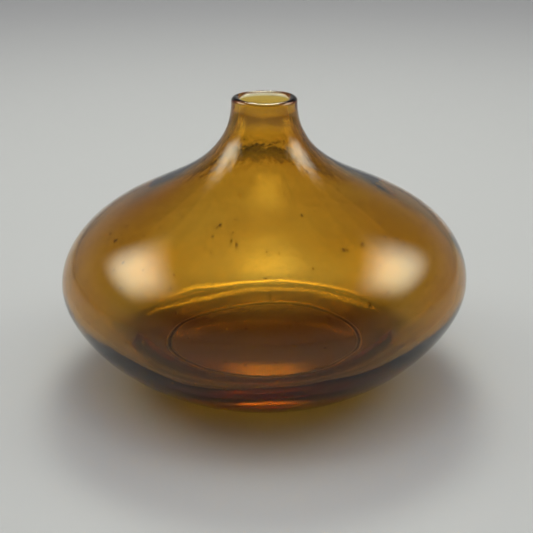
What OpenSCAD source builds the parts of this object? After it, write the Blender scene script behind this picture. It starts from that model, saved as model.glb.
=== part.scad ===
// Squat blown-glass bud vase: a flattened bulb that narrows to a small mouth with a thick, rounded lip.
// Two layers of glass fused over their whole common surface: a clear casing outside, which also forms
// the heavy base and the rounded lip, and an amber lining inside, which ends under the lip's rounding.
// Millimetres. +Z is up and is the axis of revolution. The origin is the centre of the resting ring.

/* [Body] */
// Greatest outside diameter of the bulb
body_d = 170; // [150:1:190]
// Height of the widest point above the table
waist_h = 43; // [40:0.5:48]
// Height of the shoulder's elliptical curve above the widest point
shoulder_rise = 44; // [42:0.5:48]
// Angle around that ellipse at which the shoulder turns into the neck, in degrees
shoulder_turn = 39; // [35:1:42]
// Thickness of the whole wall at the widest point
wall_t = 3.5; // [3:0.1:4.5]

/* [Neck and lip] */
// Height of the vase to the top of its lip
vase_h = 118.5; // [114:0.5:124]
// Outside diameter of the lip
lip_d = 26.5; // [25:0.5:30]
// Thickness of the glass in the rounded lip
lip_t = 3.5; // [3.2:0.1:4]
// Thickness of the wall where the neck reaches the lip
neck_t = 2.7; // [2.4:0.1:3]
// Length of the straight bore below the rounding of the lip
bore_len = 3.5; // [3:0.5:5]

/* [Base] */
// Outside diameter of the narrow resting ring
ring_d = 83; // [76:1:88]
// Width of the resting ring
ring_w = 1.2; // [0.8:0.1:3]
// Depth of the hollow pushed up inside the ring
punt_h = 2.2; // [1:0.1:3]
// Height of the inside floor above the table, at its lowest
floor_h = 14.5; // [12:0.5:16]
// Diameter over which the inside floor is nearly flat
floor_d = 110; // [100:1:114]
// Rise of the inside floor in the middle
floor_rise = 1; // [0:0.1:2]

/* [Amber lining] */
// Thickness of the lining in the wall
lining_t = 1.2; // [0.8:0.1:1.6]
// Thickness of the lining at the floor
lining_floor_t = 1.2; // [0.8:0.1:2.5]

/* [Hidden] */
$fn = 96;

body_r = body_d / 2;
lip_r = lip_d / 2;
bore_r = lip_r - lip_t;
// Height of the centre of the lip's rounding, and of the lower end of the straight bore
lip_z = vase_h - lip_t / 2;
bore_z = lip_z - bore_len;
ring_r = ring_d / 2;
punt_r = ring_r - ring_w;
floor_r = floor_d / 2;

// Steps along each kind of curve
CURVE_STEPS = 16;
SHOULDER_STEPS = 10;
DOME_STEPS = 6;
BEAD_STEPS = 6;
LIP_STEPS = 12;

// Shape of the under-body: how far the curve keeps level at the foot and upright at the waist,
// as shares of the radius left outside the foot and of the height left below the waist
FOOT_PULL = 0.29;
WAIST_PULL = 0.44;
// Shape of the neck: pulls at its shoulder end and its lip end, as shares of the straight distance
SHOULDER_PULL = 0.335;
LIP_PULL = 0.39;
// Share of the inner neck curve that is kept below the bead of the lip, and the pull into the bead
BEAD_START = 0.84;
BEAD_PULL = 1.6;

// A point of a cubic Bezier curve at u, and the stretch of that curve from 0 to u_end.
// first = 1 leaves out the starting point, where the outline already has it.
function bezier_point(p, u) =
    pow(1 - u, 3) * p[0] + 3 * pow(1 - u, 2) * u * p[1] + 3 * (1 - u) * u * u * p[2] + pow(u, 3) * p[3];
function bezier(p, u_end = 1, steps = CURVE_STEPS, first = 0) =
    [for (i = [first : steps]) bezier_point(p, u_end * i / steps)];

function reversed(list) = [for (i = [len(list) - 1 : -1 : 0]) list[i]];
function unit(v) = v / norm(v);

// The four control points of the under-body, from the foot at [r, z] out to the waist, which lies
// inset inside the outer surface
function under_body(foot, inset) =
    let (waist = [body_r - inset, waist_h])
    [foot,
     foot + [(waist[0] - foot[0]) * FOOT_PULL, 0],
     waist - [0, (waist[1] - foot[1]) * WAIST_PULL],
     waist];

// Shoulder ellipse from the waist up to shoulder_turn
function shoulder(inset) =
    [for (i = [1 : SHOULDER_STEPS])
        let (a = shoulder_turn * i / SHOULDER_STEPS)
        [(body_r - inset) * cos(a), waist_h + (shoulder_rise - inset) * sin(a)]];

// The four control points of the neck, which leaves the shoulder along its tangent and ends upright
function neck_controls(inset, neck_r) =
    let (half_w = body_r - inset,
         rise = shoulder_rise - inset,
         start = [half_w * cos(shoulder_turn), waist_h + rise * sin(shoulder_turn)],
         along = unit([-half_w * sin(shoulder_turn), rise * cos(shoulder_turn)]),
         top = [neck_r, lip_z],
         span = norm(top - start))
    [start, start + along * span * SHOULDER_PULL, top - [0, span * LIP_PULL], top];

// An inner surface's neck, which thickens into the bead of the lip and ends at the bore's lower end
function inner_neck(inset, neck_r, bead_r) =
    let (below = bezier(neck_controls(inset, neck_r), BEAD_START, first = 1),
         last = below[CURVE_STEPS - 1],
         along = unit(last - below[CURVE_STEPS - 2]),
         bead = [bead_r, bore_z])
    concat(below,
           bezier([last, last + along * BEAD_PULL, bead - [0, BEAD_PULL], bead],
                  steps = BEAD_STEPS, first = 1));

// A low dome from the axis out to [r, z], level at its edge when power is 2
function dome(r, z, rise, power) =
    [for (i = [0 : DOME_STEPS])
        let (s = i / DOME_STEPS)
        [r * s, z + rise * pow(1 - s * s, power)]];

// The rounding of the lip, from just above its outside over to its inside
function lip_arc() =
    [for (i = [1 : LIP_STEPS])
        let (a = 180 * i / LIP_STEPS)
        [lip_r - lip_t / 2 + lip_t / 2 * cos(a), lip_z + lip_t / 2 * sin(a)]];

// Outside of the vase, from the axis under the base up to the lip's rounding
function outer_outline() =
    concat(dome(punt_r, 0, punt_h, 1),
           bezier(under_body([ring_r, 0], 0)),
           shoulder(0),
           bezier(neck_controls(0, lip_r), first = 1));

// An inside surface from the axis at the floor up to the bore's lower end
function inner_outline(inset, floor_z, neck_r, bead_r) =
    concat(dome(floor_r, floor_z, floor_rise, 2),
           bezier(under_body([floor_r, floor_z], inset), first = 1),
           shoulder(inset),
           inner_neck(inset, neck_r, bead_r));

// Where the two layers meet, and the wall of the hollow, each up to the start of the lip's rounding
fused_outline = concat(inner_outline(wall_t - lining_t, floor_h - lining_floor_t,
                                     lip_r - neck_t + lining_t, bore_r + lining_t),
                       [[bore_r + lining_t, lip_z]]);
hollow_outline = concat(inner_outline(wall_t, floor_h, lip_r - neck_t, bore_r),
                        [[bore_r, lip_z]]);

// Clear outer layer: the outside, the heavy base and the lip
module glass_casing() {
    color([0.86, 0.89, 0.87, 0.35])
        rotate_extrude()
            polygon(concat(outer_outline(), lip_arc(), reversed(fused_outline)));
}

// Amber inner layer: the wall of the hollow and the bore
module amber_lining() {
    color([0.62, 0.36, 0.08, 0.6])
        rotate_extrude()
            polygon(concat(fused_outline, reversed(hollow_outline)));
}

glass_casing();
amber_lining();
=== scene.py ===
"""Looks of the squat bud vase: amber glass cased in clear glass, hand-blown, in a pale studio.

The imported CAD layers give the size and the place. Here each layer is turned again as a fine closed body,
with the slight waviness, the lean and the seed bubbles of hand work. Metres, +Z up, the table at z = 0.
The camera stands on the -Y side.
"""

import math
import random

import bpy
import numpy as np
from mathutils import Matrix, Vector, noise


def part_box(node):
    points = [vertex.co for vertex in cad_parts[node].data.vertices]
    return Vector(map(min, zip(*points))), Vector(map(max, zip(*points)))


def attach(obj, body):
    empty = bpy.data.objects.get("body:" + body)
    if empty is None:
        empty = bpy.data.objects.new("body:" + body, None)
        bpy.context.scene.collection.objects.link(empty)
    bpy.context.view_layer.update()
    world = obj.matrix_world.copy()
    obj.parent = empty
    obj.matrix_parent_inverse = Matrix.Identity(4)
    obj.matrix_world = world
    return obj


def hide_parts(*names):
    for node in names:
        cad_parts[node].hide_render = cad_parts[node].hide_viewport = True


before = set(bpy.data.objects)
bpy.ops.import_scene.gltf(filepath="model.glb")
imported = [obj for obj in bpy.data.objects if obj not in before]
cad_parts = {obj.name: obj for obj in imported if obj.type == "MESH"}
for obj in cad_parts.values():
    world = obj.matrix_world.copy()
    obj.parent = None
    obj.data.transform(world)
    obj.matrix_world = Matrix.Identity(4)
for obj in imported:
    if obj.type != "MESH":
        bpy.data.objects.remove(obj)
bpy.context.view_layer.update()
scene = bpy.context.scene

MM = 0.001

# ---------------------------------------------------------------------------------------------- sizes
# The frame gives the outside, the lining's outer face and the lining's floor. The rest repeats the CAD's
# values, which the frame doesn't hold.
casing_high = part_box("glass_casing")[1]
lining_low, lining_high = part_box("amber_lining")

BODY_R = casing_high.x
VASE_H = casing_high.z
WALL_T = 3.5 * MM
LINING_T = lining_high.x - (BODY_R - WALL_T)
FLOOR_H = 14.5 * MM
LINING_FLOOR_T = FLOOR_H - lining_low.z

WAIST_H = 43 * MM
SHOULDER_RISE = 44 * MM
SHOULDER_TURN = math.radians(39)
LIP_R = 13.25 * MM
LIP_T = 3.5 * MM
NECK_T = 2.7 * MM
BORE_LEN = 3.5 * MM
RING_R = 41.5 * MM
RING_W = 1.2 * MM
PUNT_H = 2.2 * MM
FLOOR_R = 55 * MM
FLOOR_RISE = 1 * MM

BORE_R = LIP_R - LIP_T
LIP_Z = VASE_H - LIP_T / 2
BORE_Z = LIP_Z - BORE_LEN
PUNT_R = RING_R - RING_W

# Shares that shape the curves: level at the foot, upright at the waist, along the shoulder, up to the lip
FOOT_PULL, WAIST_PULL = 0.29, 0.44
SHOULDER_PULL, LIP_PULL = 0.335, 0.39
BEAD_START, BEAD_PULL = 0.84, 1.6 * MM

# Fineness: points round the axis, steps along each stretch of an outline, and faces of a bubble
TURNS = 192
BUBBLE_ROWS, BUBBLE_COLUMNS = 7, 10
CURVE_STEPS, SHOULDER_STEPS, DOME_STEPS, BEAD_STEPS, LIP_STEPS, RING_STEPS = 44, 28, 16, 12, 24, 4

# The lining's inner face lies this far inside the glass, so that the two faces don't coincide
SKIN = 0.05 * MM

# Hand work: the lean of the bulb, how far the mouth is out of round, how uneven its top is and how far it
# has sunk on average, the spans of the broad and fine waviness, and the sizes and numbers of seed bubbles
LEAN = math.radians(0.78)
MOUTH_OVAL = 0.012
MOUTH_UNEVEN = 0.18 * MM
MOUTH_SUNK = 0.2 * MM
SWELL_SPAN, DIMPLE_SPAN = 38 * MM, 13 * MM
SEED_R, SEED_R_MAX = 0.33 * MM, 0.75 * MM
WALL_SEEDS, BASE_SEEDS = 320, 60


# ---------------------------------------------------------------------------------------------- outlines
# An outline is a list of (radius, height) points, from the axis outwards and up.
def bezier(controls, end=1.0, steps=CURVE_STEPS):
    """Points of a cubic Bezier curve after its start, up to its value at end."""
    a, b, c, d = (np.array(p) for p in controls)
    shares = [end * i / steps for i in range(1, steps + 1)]
    return [a * (1 - u) ** 3 + 3 * b * u * (1 - u) ** 2 + 3 * c * u * u * (1 - u) + d * u**3
            for u in shares]


def line(start, end, steps):
    """Even points after start, up to end."""
    start, end = np.array(start), np.array(end)
    return [start + (end - start) * i / steps for i in range(1, steps + 1)]


def dome(r, z, rise, power):
    """A low dome from the axis out to its edge."""
    return [np.array((r * s, z + rise * (1 - s * s) ** power))
            for s in (i / DOME_STEPS for i in range(DOME_STEPS + 1))]


def under_body(foot_r, foot_z, inset):
    """From the foot out to the waist."""
    waist_r = BODY_R - inset
    return bezier([(foot_r, foot_z),
                   (foot_r + (waist_r - foot_r) * FOOT_PULL, foot_z),
                   (waist_r, WAIST_H - (WAIST_H - foot_z) * WAIST_PULL),
                   (waist_r, WAIST_H)])


def shoulder(inset):
    """The ellipse from the waist up to where the neck leaves it."""
    angles = [SHOULDER_TURN * i / SHOULDER_STEPS for i in range(1, SHOULDER_STEPS + 1)]
    return [np.array(((BODY_R - inset) * math.cos(a), WAIST_H + (SHOULDER_RISE - inset) * math.sin(a)))
            for a in angles]


def neck_controls(inset, neck_r):
    """The neck leaves the shoulder along its tangent and ends upright under the lip."""
    half_w, rise = BODY_R - inset, SHOULDER_RISE - inset
    start = np.array((half_w * math.cos(SHOULDER_TURN), WAIST_H + rise * math.sin(SHOULDER_TURN)))
    along = np.array((-half_w * math.sin(SHOULDER_TURN), rise * math.cos(SHOULDER_TURN)))
    along /= np.linalg.norm(along)
    top = np.array((neck_r, LIP_Z))
    span = np.linalg.norm(top - start)
    return [start, start + along * span * SHOULDER_PULL, top - np.array((0, span * LIP_PULL)), top]


def inner_neck(inset, neck_r, bead_r):
    """An inner neck, which thickens into the bead of the lip and ends in the straight bore."""
    below = bezier(neck_controls(inset, neck_r), BEAD_START)
    along = below[-1] - below[-2]
    along /= np.linalg.norm(along)
    bead = np.array((bead_r, BORE_Z))
    into_bead = bezier([below[-1], below[-1] + along * BEAD_PULL, bead - np.array((0, BEAD_PULL)), bead],
                       steps=BEAD_STEPS)
    return below + into_bead + line(bead, (bead_r, LIP_Z), RING_STEPS)


def outer_outline():
    """Outside of the vase, from the axis under the base up to the lip's rounding."""
    return (dome(PUNT_R, 0, PUNT_H, 1) + line((PUNT_R, 0), (RING_R, 0), RING_STEPS)
            + under_body(RING_R, 0, 0) + shoulder(0) + bezier(neck_controls(0, LIP_R)))


def lip_outline():
    """The rounding of the lip, from its outside over to the bore."""
    return [np.array((LIP_R + LIP_T / 2 * (math.cos(a) - 1), LIP_Z + LIP_T / 2 * math.sin(a)))
            for a in (math.pi * i / LIP_STEPS for i in range(1, LIP_STEPS))]


def inner_outline(depth, floor_depth):
    """A face of the lining: depth is how far it lies outside the hollow, floor_depth how far below."""
    return (dome(FLOOR_R, FLOOR_H - floor_depth, FLOOR_RISE, 2)
            + under_body(FLOOR_R, FLOOR_H - floor_depth, WALL_T - depth)
            + shoulder(WALL_T - depth)
            + inner_neck(WALL_T - depth, LIP_R - NECK_T + depth, BORE_R + depth))


# ---------------------------------------------------------------------------------------------- hand work
def smooth(low, high, value):
    """0 below low, 1 above high and an even ease between."""
    t = min(max((value - low) / (high - low), 0.0), 1.0)
    return t * t * (3 - 2 * t)


def ripple(seed, broad, fine):
    """Waviness of one glass surface: a function from a point to how far it stands out, in metres.

    It dies out at the lip, where the surfaces meet, and at the resting ring, which the table keeps level.
    """
    offset = Vector((seed * 17.3, seed * 5.1, seed * 9.7))

    def relief(point):
        calm = smooth(1 * MM, 12 * MM, point.z) * (1 - smooth(102 * MM, 114 * MM, point.z))
        swell = noise.noise(point / SWELL_SPAN + offset) * broad
        dimple = noise.noise(point / DIMPLE_SPAN - offset) * fine
        return (swell + dimple) * calm

    return relief


def slump(point):
    """Moves a point as the soft glass settled: the bulb leans a little and the mouth isn't quite round."""
    lean = math.tan(LEAN) * smooth(1 * MM, 24 * MM, point.z)
    lean *= 1 - smooth(76 * MM, 102 * MM, point.z)
    at_lip = smooth(96 * MM, VASE_H, point.z)
    angle = math.atan2(point.y, point.x)
    oval = 1 + MOUTH_OVAL * at_lip * math.cos(2 * angle + 0.6)
    uneven = MOUTH_UNEVEN * at_lip * math.sin(2 * angle + 1.1) - MOUTH_SUNK * at_lip
    return Vector((point.x * oval, point.y * oval, point.z + point.x * lean + uneven))


def ring_of(r, z, normal, relief):
    """One turn of an outline point, or the single point where it lies on the axis."""
    if r < 1e-7:
        return [slump(Vector((0, 0, z)))]
    ring = []
    for i in range(TURNS):
        angle = 2 * math.pi * i / TURNS
        x, y = math.cos(angle), math.sin(angle)
        out = relief(Vector((r * x, r * y, z)))
        reach = r + normal[0] * out
        ring.append(slump(Vector((reach * x, reach * y, z + normal[1] * out))))
    return ring


def turned(stretches):
    """Points and faces of a closed body. stretches holds (outline, relief) pairs that follow each other."""
    outline = np.array([p for points, _ in stretches for p in points])
    reliefs = [relief for points, relief in stretches for _ in points]
    tangent = np.gradient(outline, axis=0)
    tangent /= np.linalg.norm(tangent, axis=1)[:, None]
    normals = np.stack((tangent[:, 1], -tangent[:, 0]), axis=1)
    verts, faces, below = [], [], []
    for (r, z), normal, relief in zip(outline, normals, reliefs):
        ring = ring_of(r, z, normal, relief)
        here = list(range(len(verts), len(verts) + len(ring)))
        verts += ring
        faces += between(below, here)
        below = here
    return verts, faces


def between(low, high):
    """Faces between two rings of point numbers, either of which may be a single point."""
    if not low:
        return []
    if len(low) == 1:
        return [(low[0], high[(i + 1) % TURNS], high[i]) for i in range(TURNS)]
    if len(high) == 1:
        return [(low[i], low[(i + 1) % TURNS], high[0]) for i in range(TURNS)]
    return [(low[i], low[(i + 1) % TURNS], high[(i + 1) % TURNS], high[i]) for i in range(TURNS)]


# ---------------------------------------------------------------------------------------------- seeds
def bubble(centre, radius, stretch, along):
    """A small ball of air whose faces look inwards, away from the glass. Returns points and faces."""
    side = along.orthogonal().normalized()
    other = along.cross(side)
    rows, columns = BUBBLE_ROWS, BUBBLE_COLUMNS
    verts = [centre - along * radius * stretch]
    for row in range(1, rows):
        polar = math.pi * row / rows
        for column in range(columns):
            turn = 2 * math.pi * column / columns
            verts.append(centre - along * (radius * stretch * math.cos(polar))
                         + (side * math.cos(turn) + other * math.sin(turn)) * (radius * math.sin(polar)))
    verts.append(centre + along * radius * stretch)
    top = len(verts) - 1
    faces = []
    for column in range(columns):
        after = (column + 1) % columns
        faces.append((0, 1 + column, 1 + after))
        for row in range(rows - 2):
            a, b = 1 + row * columns, 1 + (row + 1) * columns
            faces.append((a + column, b + column, b + after, a + after))
        last = 1 + (rows - 2) * columns
        faces.append((last + column, top, last + after))
    return verts, faces


def seed_radius(rng):
    """Mostly small, with a few larger ones."""
    return min(SEED_R * math.exp(rng.gauss(0.0, 0.35)), SEED_R_MAX)


def at_angle(r, z, angle):
    """The place of an outline point at an angle round the axis, in the settled glass."""
    return slump(Vector((r * math.cos(angle), r * math.sin(angle), z)))


def wall_seeds(outside, fused, count, rng):
    """Seed bubbles in the clear layer, drawn out along the wall as the glass was blown."""
    usable = range(DOME_STEPS + RING_STEPS + 3, len(outside) - CURVE_STEPS // 2)
    pairs = [(outside[i], outside[i + 1], fused[i - RING_STEPS]) for i in usable]
    weights = [a[0] * np.linalg.norm(b - a) for a, b, _ in pairs]
    for outer, above, inner in rng.choices(pairs, weights, k=count):
        depth = rng.uniform(0.4, 0.65)
        angle = rng.uniform(0, 2 * math.pi)
        r, z = outer + (inner - outer) * depth
        up = above - outer
        up /= np.linalg.norm(up)
        along = Vector((up[0] * math.cos(angle), up[0] * math.sin(angle), up[1]))
        yield bubble(at_angle(r, z, angle), seed_radius(rng), rng.uniform(1.0, 1.7), along)


def base_seeds(count, rng):
    """Seed bubbles in the thick clear base."""
    for _ in range(count):
        r, z = 45 * MM * math.sqrt(rng.random()), rng.uniform(5 * MM, 11 * MM)
        yield bubble(at_angle(r, z, rng.uniform(0, 2 * math.pi)), seed_radius(rng), 1.2, Vector((0, 0, 1)))


# ---------------------------------------------------------------------------------------------- node helpers
def new_material(name):
    """A material with a Principled shader. Returns the material, its node tree and the shader."""
    mat = bpy.data.materials.new(name)
    mat.use_nodes = True
    return mat, mat.node_tree, mat.node_tree.nodes["Principled BSDF"]


def add(tree, kind, inputs=(), **settings):
    """A node with settings. inputs holds (socket name or number, value or output) pairs."""
    node = tree.nodes.new("ShaderNode" + kind)
    for name, value in settings.items():
        setattr(node, name, value)
    for socket, value in inputs:
        if isinstance(value, bpy.types.NodeSocket):
            tree.links.new(value, node.inputs[socket])
        else:
            node.inputs[socket].default_value = value
    return node


def scaled_noise(tree, coords, stretch, scale, detail=2.0):
    """A noise value from object coordinates multiplied by stretch. scale is in features per metre."""
    moved = add(tree, "VectorMath", ((0, coords), (1, stretch)), operation="MULTIPLY")
    return add(tree, "TexNoise", (("Vector", moved.outputs[0]), ("Scale", scale),
                                  ("Detail", detail))).outputs["Fac"]


def ranged(tree, value, low, high, to_low, to_high):
    """value taken from low..high to to_low..to_high, eased and kept within them."""
    return add(tree, "MapRange", (("Value", value), ("From Min", low), ("From Max", high),
                                  ("To Min", to_low), ("To Max", to_high)),
               interpolation_type="SMOOTHSTEP").outputs["Result"]


def maths(tree, operation, a, b):
    """The output of a Math node on two values or outputs."""
    return add(tree, "Math", ((0, a), (1, b)), operation=operation).outputs[0]


def mixed(tree, factor, a, b):
    """A colour between a and b, each of which is a colour or an output."""
    node = add(tree, "Mix", ((0, factor),), data_type="RGBA")
    for name, colour in (("A", a), ("B", b)):
        if isinstance(colour, bpy.types.NodeSocket):
            tree.links.new(colour, node.inputs[name])
        else:
            node.inputs[name].default_value = (*colour, 1)
    return node.outputs["Result"]


def absorb(tree, per_metre):
    """Takes light off inside the body: per_metre is the absorption of red, green and blue."""
    density = max(per_metre) / 0.95
    volume = add(tree, "VolumeAbsorption", (("Density", density),
                                            ("Color", (*[1 - a / density for a in per_metre], 1))))
    tree.links.new(volume.outputs["Volume"], tree.nodes["Material Output"].inputs["Volume"])


# ---------------------------------------------------------------------------------------------- materials
# What one wall lets through at its waist, as red, green and blue, and the casing's share of that colour
WALL_PASSES = (0.75, 0.515, 0.11)
CASING_SHARE = 0.45
# The casing's tint in the neck, where the amber turns golden, and its colour where it has no tint
NECK_TINT = (1.0, 0.82, 0.34)
COLOURLESS = (0.98, 0.985, 0.98)
# Height at which the neck's tint and marks set in
NECK_START = 82 * MM
# What the clear and the amber glass take off, per metre, of red, green and blue
CLEAR_ABSORBS = (5.5, 4.5, 5.0)
AMBER_ABSORBS = [-math.log(p) * (1 - CASING_SHARE) / LINING_T for p in WALL_PASSES]


def clear_glass():
    """Clear casing: fire-polished, faintly corded, smudged in use, and worn matt on its resting ring."""
    mat, tree, shader = new_material("clear_glass")
    coords = add(tree, "TexCoord").outputs["Object"]
    height = add(tree, "SeparateXYZ", ((0, coords),)).outputs["Z"]
    from_axis = add(tree, "VectorMath", ((0, coords), (1, (1, 1, 0))), operation="MULTIPLY").outputs[0]
    radius = add(tree, "VectorMath", ((0, from_axis),), operation="LENGTH").outputs["Value"]

    # The straw tint turns golden up the neck. It fades out over the outside of the lip, and towards the
    # thick clear base.
    tint = mixed(tree, ranged(tree, height, NECK_START, 104 * MM, 0.0, 1.0),
                 [p**CASING_SHARE for p in WALL_PASSES], NECK_TINT)
    lip = maths(tree, "MULTIPLY", ranged(tree, height, 112.5 * MM, 116 * MM, 0.0, 1.0),
                ranged(tree, radius, BORE_R + 0.2 * MM, BORE_R + 0.7 * MM, 0.0, 1.0))
    colourless = maths(tree, "ADD", lip, ranged(tree, height, 4 * MM, 30 * MM, 1.0, 0.0))
    tree.links.new(mixed(tree, colourless, tint, COLOURLESS), shader.inputs["Base Color"])

    smudge = ranged(tree, scaled_noise(tree, coords, (1, 1, 1), 45, 5), 0.5, 0.75, 0.0, 0.035)
    worn = ranged(tree, height, 0.01 * MM, 0.06 * MM, 1.0, 0.0)
    tree.links.new(maths(tree, "ADD", smudge, maths(tree, "MULTIPLY", worn, 0.45)),
                   shader.inputs["Roughness"])
    tree.links.new(maths(tree, "SUBTRACT", 1.0, maths(tree, "MULTIPLY", worn, 0.6)),
                   shader.inputs["Transmission Weight"])

    # Cords lie level round the bulb, and the neck has marks along its pull
    cords = scaled_noise(tree, coords, (1, 1, 5), 28, 1)
    marks = maths(tree, "MULTIPLY", scaled_noise(tree, coords, (1, 1, 0.2), 260, 2),
                  ranged(tree, height, NECK_START, 98 * MM, 0.0, 5.0))
    relief = maths(tree, "ADD", cords, marks)
    bump = add(tree, "Bump", (("Height", relief), ("Strength", 1.0), ("Distance", 0.05 * MM)))
    tree.links.new(bump.outputs["Normal"], shader.inputs["Normal"])

    shader.inputs["IOR"].default_value = 1.5
    absorb(tree, CLEAR_ABSORBS)
    return mat


def amber_glass():
    """Amber lining: it bends no light itself, because it lies inside the casing's glass."""
    mat, tree, shader = new_material("amber_glass")
    coords = add(tree, "TexCoord").outputs["Object"]
    streaks = ranged(tree, scaled_noise(tree, coords, (1, 1, 3), 22, 3), 0.3, 0.7, 0.0, 1.0)
    tree.links.new(mixed(tree, streaks, (0.97, 0.93, 0.82), (1.0, 1.0, 1.0)), shader.inputs["Base Color"])
    shader.inputs["Roughness"].default_value = 0.0
    shader.inputs["IOR"].default_value = 1.0
    shader.inputs["Transmission Weight"].default_value = 1.0
    absorb(tree, AMBER_ABSORBS)
    return mat


# ---------------------------------------------------------------------------------------------- the vase
def make_piece(name, bodies, material, node):
    """One piece from several closed bodies, riding on the vase and standing for its CAD node."""
    verts, faces = [], []
    for body_verts, body_faces in bodies:
        start = len(verts)
        verts += body_verts
        faces += [tuple(i + start for i in face) for face in body_faces]
    mesh = bpy.data.meshes.new(name)
    mesh.from_pydata(verts, [], faces)
    mesh.shade_smooth()
    mesh.materials.append(material)
    piece = bpy.data.objects.new(name, mesh)
    scene.collection.objects.link(piece)
    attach(piece, "root")
    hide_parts(node)
    return piece


outside_ripple = ripple(seed=1, broad=0.3 * MM, fine=0.03 * MM)
hollow_ripple = ripple(seed=2, broad=0.3 * MM, fine=0.04 * MM)
fused_ripple = ripple(seed=3, broad=0.35 * MM, fine=0.05 * MM)
no_ripple = ripple(seed=0, broad=0.0, fine=0.0)

outside = outer_outline()
hollow = inner_outline(0, 0)
fused = inner_outline(LINING_T, LINING_FLOOR_T)
wall = turned([(outside, outside_ripple), (lip_outline(), no_ripple), (hollow[::-1], hollow_ripple)])
rng = random.Random(5)
bubbles = [*wall_seeds(outside, fused, WALL_SEEDS, rng), *base_seeds(BASE_SEEDS, rng)]
# One larger bubble low on the left of the front
bubbles.append(bubble(at_angle(BODY_R - (WALL_T - LINING_T) / 2, 44 * MM, math.radians(-122)),
                      SEED_R_MAX, 1.0, Vector((0, 0, 1))))
make_piece("casing_glass", [wall, *bubbles], clear_glass(), "glass_casing")

layer = turned([(fused, fused_ripple), (inner_outline(SKIN, SKIN)[::-1], hollow_ripple)])
make_piece("lining_glass", [layer], amber_glass(), "amber_lining")


# ---------------------------------------------------------------------------------------------- studio
TABLE_R, TABLE_SIDES = 8.0, 96
TABLE_COLOUR = (0.23, 0.228, 0.238)
WALL_COLOUR, OVERHEAD_COLOUR = (0.3, 0.3, 0.296), (0.08, 0.083, 0.086)
# Colour of a softbox, and the share of it over which its light fades towards the edges
SOFT_COLOUR = (0.96, 1.0, 0.86)
SOFT_EDGE = 0.9
# Spreads of the overhead discs, in degrees
CEILING_SPREADS = (36, 54, 72, 90, 108)


def direction(azimuth, elevation):
    """Unit vector to a place seen from the vase. Azimuth 0 is the camera's side, 90 is +X."""
    a, e = math.radians(azimuth), math.radians(elevation)
    return Vector((math.sin(a) * math.cos(e), -math.cos(a) * math.cos(e), math.sin(e)))


def softbox(name, azimuth, elevation, distance, size, watts, mirrored=True):
    """A rectangular lamp that looks at the vase and fades towards its edges.

    Unless mirrored, it shines through the glass without an image of it on a surface.
    """
    lamp = bpy.data.lights.new(name, "AREA")
    lamp.shape = "RECTANGLE"
    lamp.size, lamp.size_y = size
    lamp.energy = watts
    lamp.color = SOFT_COLOUR
    lamp.use_nodes = True
    tree = lamp.node_tree
    emission = tree.nodes["Emission"]
    place = add(tree, "SeparateXYZ", ((0, add(tree, "NewGeometry").outputs["Parametric"]),))
    fade = 1.0
    for axis in "XY":
        from_middle = maths(tree, "ABSOLUTE", maths(tree, "SUBTRACT", place.outputs[axis], 0.5), 0.0)
        along = ranged(tree, from_middle, 0.5 * (1 - SOFT_EDGE), 0.5, 1.0, 0.0)
        fade = maths(tree, "MULTIPLY", fade, along)
    tree.links.new(fade, emission.inputs["Strength"])
    box = bpy.data.objects.new(name, lamp)
    way = direction(azimuth, elevation)
    box.location = way * distance
    box.rotation_euler = way.to_track_quat("Z", "Y").to_euler()
    box.visible_glossy = mirrored
    scene.collection.objects.link(box)


def ceiling(strength):
    """Even light from overhead that fades outwards, from discs of growing spread and equal brightness.

    It shines through the glass, but surfaces show no image of it.
    """
    areas = [math.sin(math.radians(spread / 2)) ** 2 for spread in CEILING_SPREADS]
    for spread, area in zip(CEILING_SPREADS, areas):
        lamp = bpy.data.lights.new(f"ceiling_{spread}", "SUN")
        lamp.angle = math.radians(spread)
        lamp.energy = strength * area / sum(areas)
        light = bpy.data.objects.new(lamp.name, lamp)
        light.visible_glossy = False
        scene.collection.objects.link(light)


def matt_table():
    """Pale, even and matt."""
    mat, _, shader = new_material("table")
    shader.inputs["Base Color"].default_value = (*TABLE_COLOUR, 1)
    shader.inputs["Roughness"].default_value = 0.6
    return mat


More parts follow.
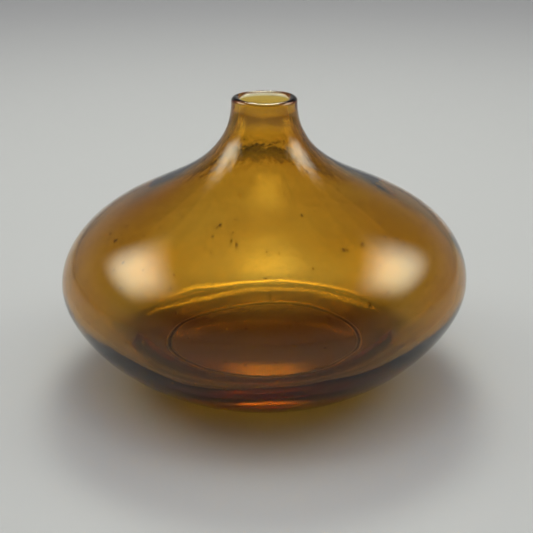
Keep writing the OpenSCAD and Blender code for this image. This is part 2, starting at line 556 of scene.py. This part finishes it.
def table():
    """A wide, round, pale table."""
    verts = [(TABLE_R * math.cos(a), TABLE_R * math.sin(a), 0)
             for a in (2 * math.pi * i / TABLE_SIDES for i in range(TABLE_SIDES))]
    mesh = bpy.data.meshes.new("table")
    mesh.from_pydata(verts, [], [tuple(range(TABLE_SIDES))])
    mesh.materials.append(matt_table())
    piece = bpy.data.objects.new("table", mesh)
    scene.collection.objects.link(piece)


def studio_walls():
    """Pale walls round the horizon that darken overhead."""
    world = bpy.data.worlds.new("studio")
    world.use_nodes = True
    tree = world.node_tree
    up = add(tree, "SeparateXYZ", ((0, add(tree, "TexCoord").outputs["Generated"]),)).outputs["Z"]
    shade = ranged(tree, up, 0.1, 0.5, 0.0, 1.0)
    tree.links.new(mixed(tree, shade, WALL_COLOUR, OVERHEAD_COLOUR),
                   tree.nodes["Background"].inputs["Color"])
    scene.world = world


table()
studio_walls()
softbox("softbox_left", azimuth=-101, elevation=41, distance=1.0, size=(0.95, 0.66), watts=12)
softbox("softbox_right", azimuth=101, elevation=41, distance=1.0, size=(0.95, 0.66), watts=12)
softbox("softbox_back", azimuth=180, elevation=54, distance=1.0, size=(0.56, 0.42), watts=20)
softbox("softbox_top", azimuth=0, elevation=90, distance=0.9, size=(0.5, 0.5), watts=5, mirrored=False)
ceiling(strength=3.4)


# ---------------------------------------------------------------------------------------------- camera
# Where the camera stands and looks, its angle of view and how far the picture is shifted sideways
CAMERA_ELEVATION, CAMERA_DISTANCE = 21.8, 0.4723
LOOK_AT = Vector((0, 0, 0.04495))
FIELD_OF_VIEW = math.radians(27)
SIDE_SHIFT = 0.0041


def make_camera():
    """The photograph's view, from the -Y side and above the table."""
    way = direction(0, CAMERA_ELEVATION)
    lens = bpy.data.cameras.new("camera")
    lens.sensor_width = 36
    lens.angle = FIELD_OF_VIEW
    lens.shift_x = SIDE_SHIFT
    camera = bpy.data.objects.new("camera", lens)
    camera.location = LOOK_AT + way * CAMERA_DISTANCE
    camera.rotation_euler = way.to_track_quat("Z", "Y").to_euler()
    scene.collection.objects.link(camera)
    scene.camera = camera


make_camera()

# Enough bounces for light that runs round inside the walls
scene.cycles.max_bounces = 32
scene.cycles.transmission_bounces = 32
scene.cycles.glossy_bounces = 16
scene.cycles.transparent_max_bounces = 16
scene.view_settings.view_transform = "Standard"
